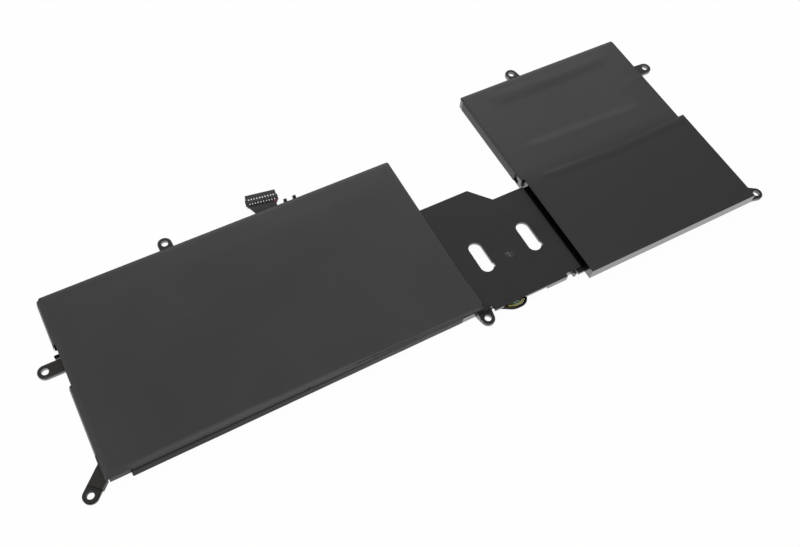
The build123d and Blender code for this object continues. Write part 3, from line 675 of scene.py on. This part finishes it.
FRONT_TURN_SHARE, FRONT_TURN_OUT = 0.45, 0.15
FRONT_LEAVE_SHARE, FRONT_LEAVE_OUT, FRONT_LEAVE_DOWN = 0.4, 0.12, 1.1
FOOT_WAVE_MM, FOOT_WAVE_DEPTH = 23, 0.1
SIDE_TURN_IN, SIDE_LEAVE_IN, SIDE_LEAVE_DOWN = 0.85, 0.5, 1.2
FLARE_RUN = 4.0


def on_front_bend(at):
    """Whether a vertex lies on the bend of the front flap."""
    in_reach = flap_from - ON_LINE_MM < at.x < flap_to + ON_LINE_MM
    return in_reach and abs(at.y - front_bend(at.x)) < ON_LINE_MM


def front_turn(at):
    """Where the front fold turns, and where it leaves down the wall."""
    turn_y = left_y0 + (at.y - left_y0) * FRONT_TURN_SHARE - FRONT_TURN_OUT
    leave_y = left_y0 + (at.y - left_y0) * FRONT_LEAVE_SHARE - FRONT_LEAVE_OUT
    return Vector((at.x, turn_y, at.z)), Vector((at.x, leave_y, at.z - FRONT_LEAVE_DOWN))


def front_foot(at):
    """The front flap's lower edge, which waves a little."""
    wave = abs(noise.noise(Vector((at.x / FOOT_WAVE_MM, FOOT_ROW, 0.0))))
    return Vector((at.x, left_y0 + FOOT_WAVE_DEPTH * wave, FLAP_LOW))


def fold_left_flap(flap_y0, flap_y1, flare):
    """Folds one flap down the left wall; its near edge flares out towards its foot."""
    def on_bend(at):
        in_reach = flap_y0 - ON_LINE_MM < at.y < flap_y1 + ON_LINE_MM
        return in_reach and abs(at.x - west) < ON_LINE_MM

    def turn(at):
        leave = Vector((left_x0 + SIDE_LEAVE_IN, at.y, at.z - SIDE_LEAVE_DOWN))
        return Vector((left_x0 + SIDE_TURN_IN, at.y, at.z)), leave

    def foot(at):
        out = flare * (1 - smooth(at.y, flap_y0, flap_y0 + FLARE_RUN))
        return Vector((left_x0, at.y - out, FLAP_LOW))

    fold_flap(left_form, on_bend, 1, turn, foot)


fold_flap(left_form, on_front_bend, 0, front_turn, front_foot)
fold_left_flap(left_y0 + NEAR_FLAP, left_y0 + NEAR_FLAP_END, NEAR_FLAP_FLARE)
fold_left_flap(left_y0 + FAR_FLAP, left_y1 - CORNER_MM, 0.0)

# Painted shade and light on the front flap: its faces get a darker copy of the film, which turns to
# a painted lighter grey along x towards the bridge.
FOLD_FADE_MM = 55.0
FRONT_FACING = -0.35
flap_film_painted_shade, tree, shader, cloudy = film_finish(
    "black_polyester_film_painted_flap_shade", "171718", "1b1b1c", 0.5
)
shader.inputs["Specular IOR Level"].default_value = 0.3
# Painted light: the flap's grey rises towards the bridge.
painted_light_towards_bridge = spread(tree, along(tree, "X"), 0.0, FOLD_FADE_MM * MM)
tree.links.new(
    blend_colours(tree, painted_light_towards_bridge, cloudy, "3c3c3d"), shader.inputs["Base Color"]
)


def on_front_fold(face):
    """Whether a face belongs to the front flap and its fold."""
    return face.normal.y < FRONT_FACING and face.center.y < (left_y0 + 2 * FLAP_RUN) * MM


finish_film(
    left_form, "cover_film_left", "top_film_left", [polyester_film, flap_film_painted_shade], on_front_fold
)


# Cover film of the right block: the same film over both bays of the thicker tray. It is sucked down
# into a shallow oblong over the far cell, stands up in a seam along the rib between the bays, and
# one flap goes straight down the wall beside the notch.
RIGHT_TOP = 5.8
SHEET_LEVEL = 0.14
SHEET_ROLL_WIDTH = 1.4
RIGHT_LIFT_WIDTH = 2.5
FLAP_FROM_NOTCH = 4.8
FLAP_FROM_FAR = 2.8
WALL_FOLD = 0.6
STEP = 3.0
STEP_FROM_NEAR = 54.0
NOTCH_FROM_NEAR = 47.15
GROOVE = 1.7
GROOVE_CLEAR = 0.1
right_low, right_high = (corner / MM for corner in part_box("top_film_right"))
right_x0, right_x1 = right_low.x, right_high.x - STEP
lower_x0, lower_x1 = right_x0 + GROOVE + GROOVE_CLEAR, right_high.x
right_y0, right_y1 = right_low.y, right_high.y
step_y = right_y0 + STEP_FROM_NEAR
notch_y = left_y0 + NOTCH_FROM_NEAR + GROOVE + GROOVE_CLEAR
fold_x = right_x0 + WALL_FOLD
flap_near, flap_far = notch_y + FLAP_FROM_NOTCH, right_y1 - FLAP_FROM_FAR

HOLLOW = (145.5, 209.0, 22.6, 49.9)
HOLLOW_DEPTH = 0.22
HOLLOW_SKEW = 0.036
HOLLOW_SIDE = 3
HOLLOW_NEAR_OUT, HOLLOW_NEAR_IN = 1.8, 2.0
HOLLOW_FAR_OUT, HOLLOW_FAR_IN = 1.6, 2.2
HOLLOW_CALM = 0.8
HOLLOW_LIP = [(148.0, 21.0), (206.0, 18.7)]
SEAM = [(143.0, 3.6), (151.0, 2.9), (182.0, 1.3), (222.0, 2.6)]
SEAM_FRONT_OUT = 3.2
SEAM_FRONT = [(x, y - SEAM_FRONT_OUT) for x, y in SEAM]
FAR_BAND = [(146.0, 54.6), (178.0, 53.2), (212.0, 53.8)]
SIDE_STREAK = [(209.0, 32.6), (222.0, 34.2)]
RIGHT_WAVES = ((26.0, 0.05), (9.0, 0.014))
RIGHT_RIDGES = (
    (HOLLOW_LIP, 2.2, 0.06), (SEAM, 1.5, 0.16), (SEAM_FRONT, 1.6, -0.07), (FAR_BAND, 1.5, 0.1),
    (SIDE_STREAK, 1.1, 0.1),
)

right_film_outline = (
    [(lower_x0, right_y0), (lower_x1, right_y0), (lower_x1, step_y), (right_x1, step_y)]
    + rounded((right_x1 - CORNER_MM, right_y1 - CORNER_MM), CORNER_MM, 0)
    + rounded((right_x0 + CORNER_MM, right_y1 - CORNER_MM), CORNER_MM, 90)
    + [(right_x0, flap_far), (fold_x, flap_far), (fold_x, flap_near), (right_x0, flap_near),
       (right_x0, notch_y), (lower_x0, notch_y)]
)


def hollow_at(x, y):
    """The oblong over the far cell: 1 inside it, 0 outside, with soft sides."""
    x0, x1, y0, y1 = HOLLOW
    skewed = y + HOLLOW_SKEW * (x - x0)
    left = smooth(x, x0 - HOLLOW_SIDE, x0 + HOLLOW_SIDE)
    right = smooth(x1 - x, -HOLLOW_SIDE, HOLLOW_SIDE)
    near = smooth(skewed, y0 - HOLLOW_NEAR_OUT, y0 + HOLLOW_NEAR_IN)
    return left * right * near * smooth(y1 - y, -HOLLOW_FAR_OUT, HOLLOW_FAR_IN)


def right_height(x, y):
    """How far the right sheet stands above its rim."""
    side = lower_x1 if y < step_y else right_x1
    start = lower_x0 if y < notch_y else right_x0
    edge = min(side - x, x - start, y - right_y0, right_y1 - y)
    hollow = hollow_at(x, y)
    level = SHEET_LEVEL * smooth(edge, -EDGE_OUT, SHEET_ROLL_WIDTH)
    lift = -HOLLOW_DEPTH * hollow + ridges(x, y, RIGHT_RIDGES)
    lift += waves(x, y, RIGHT_WAVES) * (1 - HOLLOW_CALM * hollow)
    return level + lift * smooth(edge, 0.0, RIGHT_LIFT_WIDTH)


def on_notch_bend(at):
    """Whether a vertex lies on the bend beside the notch."""
    in_reach = flap_near - ON_LINE_MM < at.y < flap_far + ON_LINE_MM
    return in_reach and abs(at.x - fold_x) < ON_LINE_MM


right_cuts = (
    lines_across(right_x0, lower_x1, (
        (fold_x, 1), (lower_x0, 1), (right_x1, -1), (lower_x1, -1),
    )),
    lines_across(right_y0, right_y1, ((right_y0, 1), (right_y1, -1), (step_y, -1), (notch_y, 1))),
)
right_form = lay_sheet(right_film_outline, right_cuts, RIGHT_TOP, right_height)
fold_flap(
    right_form, on_notch_bend, 1,
    lambda at: (Vector((right_x0, at.y, at.z)), Vector((right_x0, at.y, at.z - WALL_FOLD))),
    lambda at: Vector((right_x0, at.y, FLAP_LOW)),
)

# Painted shade: the film over the lower bay is darkened, fading out across the step between the
# bays.
BAY_SHADE_IN_MM = 3.0
BAY_FADE_MM = 9.0
right_film, tree, shader, cloudy = film_finish(
    "calendered_film_painted_shade_on_lower_bay", "2b2b2c", "303031", 0.42
)
bay_edge = (step_y - BAY_SHADE_IN_MM) * MM
# Painted shade in the lower bay.
painted_shade_in_lower_bay = spread(tree, along(tree, "Y"), bay_edge, bay_edge + BAY_FADE_MM * MM, 1.0, 0.0)
tree.links.new(blend_colours(tree, painted_shade_in_lower_bay, cloudy, "1f1f20"), shader.inputs["Base Color"])
finish_film(right_form, "cover_film_right", "top_film_right", [right_film])


# Floor, lamps and camera: a pale studio table, wide soft lamps, and the photograph's viewpoint. To
# the camera and in reflections the table is nearly white; it lights the pack as plain paper does.
FLOOR_REACH = 3.0
PAPER = (0.9, 0.9, 0.9, 1.0)
WHITE = (1, 1, 1, 1)
SHARE_OF_WHITE = 0.96
WORLD_LIGHT = 0.45
SENSOR_MM, LENS_MM = 36.0, 39.735
CAMERA_AT_MM = (-53.65, -172.15, 326.0)
VIEW_RIGHT = (0.8754, -0.4789, 0.0657)
VIEW_FORWARD = (0.2968, 0.4253, -0.855)

floor_mesh = bpy.data.meshes.new("studio_floor")
floor_form = bmesh.new()
bmesh.ops.create_grid(floor_form, x_segments=1, y_segments=1, size=FLOOR_REACH)
floor_form.to_mesh(floor_mesh)
floor_form.free()
floor = bpy.data.objects.new("studio_floor", floor_mesh)
bpy.context.scene.collection.objects.link(floor)
floor_mesh.transform(Matrix.Translation((0, 0, cad_low.z)))

floor_material = bpy.data.materials.new("white_paper_floor")
floor_material.use_nodes = True
tree = floor_material.node_tree
tree.nodes.clear()
paper = add_node(tree, "ShaderNodeBsdfDiffuse", inputs={"Color": PAPER})
glow = add_node(tree, "ShaderNodeEmission", inputs={"Color": WHITE, "Strength": 1.0})
rays = add_node(tree, "ShaderNodeLightPath").outputs
seen = rays["Is Camera Ray"]
for kind in ("Is Glossy Ray", "Is Transmission Ray"):
    seen = add_node(
        tree, "ShaderNodeMath", {"operation": "ADD", "use_clamp": True}, {0: seen, 1: rays[kind]}
    ).outputs[0]
mixed = add_node(
    tree, "ShaderNodeMixShader",
    inputs={0: times(tree, seen, SHARE_OF_WHITE), 1: paper.outputs[0], 2: glow.outputs[0]},
)
add_node(tree, "ShaderNodeOutputMaterial", inputs={"Surface": mixed.outputs[0]})
floor_mesh.materials.append(floor_material)

world = bpy.data.worlds.new("studio")
bpy.context.scene.world = world
world.use_nodes = True
background = world.node_tree.nodes["Background"]
background.inputs["Color"].default_value = WHITE
background.inputs["Strength"].default_value = WORLD_LIGHT


def soft_lamp(name, place, aim, size, power):
    """A rectangular lamp, turned from its place to its aim, in metres and watts."""
    lamp = bpy.data.lights.new(name, "AREA")
    lamp.shape = "RECTANGLE"
    lamp.size, lamp.size_y = size
    lamp.energy = power
    holder = bpy.data.objects.new(name, lamp)
    bpy.context.scene.collection.objects.link(holder)
    holder.location = place
    holder.rotation_euler = (Vector(aim) - Vector(place)).to_track_quat("-Z", "Y").to_euler()


soft_lamp("softbox_left", (-0.9, 0.3, 1.0), (0.05, 0.0, 0.0), (1.0, 1.0), 3.8)
soft_lamp("softbox_back", (0.5, 1.15, 0.75), (0.1, 0.0, 0.0), (1.4, 0.7), 5.4)
soft_lamp("softbox_front", (0.2, -0.3, 1.25), (0.08, 0.0, 0.0), (1.1, 0.35), 5.0)

camera_data = bpy.data.cameras.new("camera")
camera_data.sensor_width = SENSOR_MM
camera_data.lens = LENS_MM
camera_data.clip_start = 0.01
camera = bpy.data.objects.new("camera", camera_data)
bpy.context.scene.collection.objects.link(camera)
view_forward = Vector(VIEW_FORWARD).normalized()
view_up = Vector(VIEW_RIGHT).normalized().cross(view_forward).normalized()
view_right = view_forward.cross(view_up).normalized()
turn = Matrix((view_right, view_up, -view_forward)).transposed().to_4x4()
camera.matrix_world = Matrix.Translation(Vector(CAMERA_AT_MM) * MM) @ turn
bpy.context.scene.camera = camera
bpy.context.scene.view_settings.view_transform = "Standard"
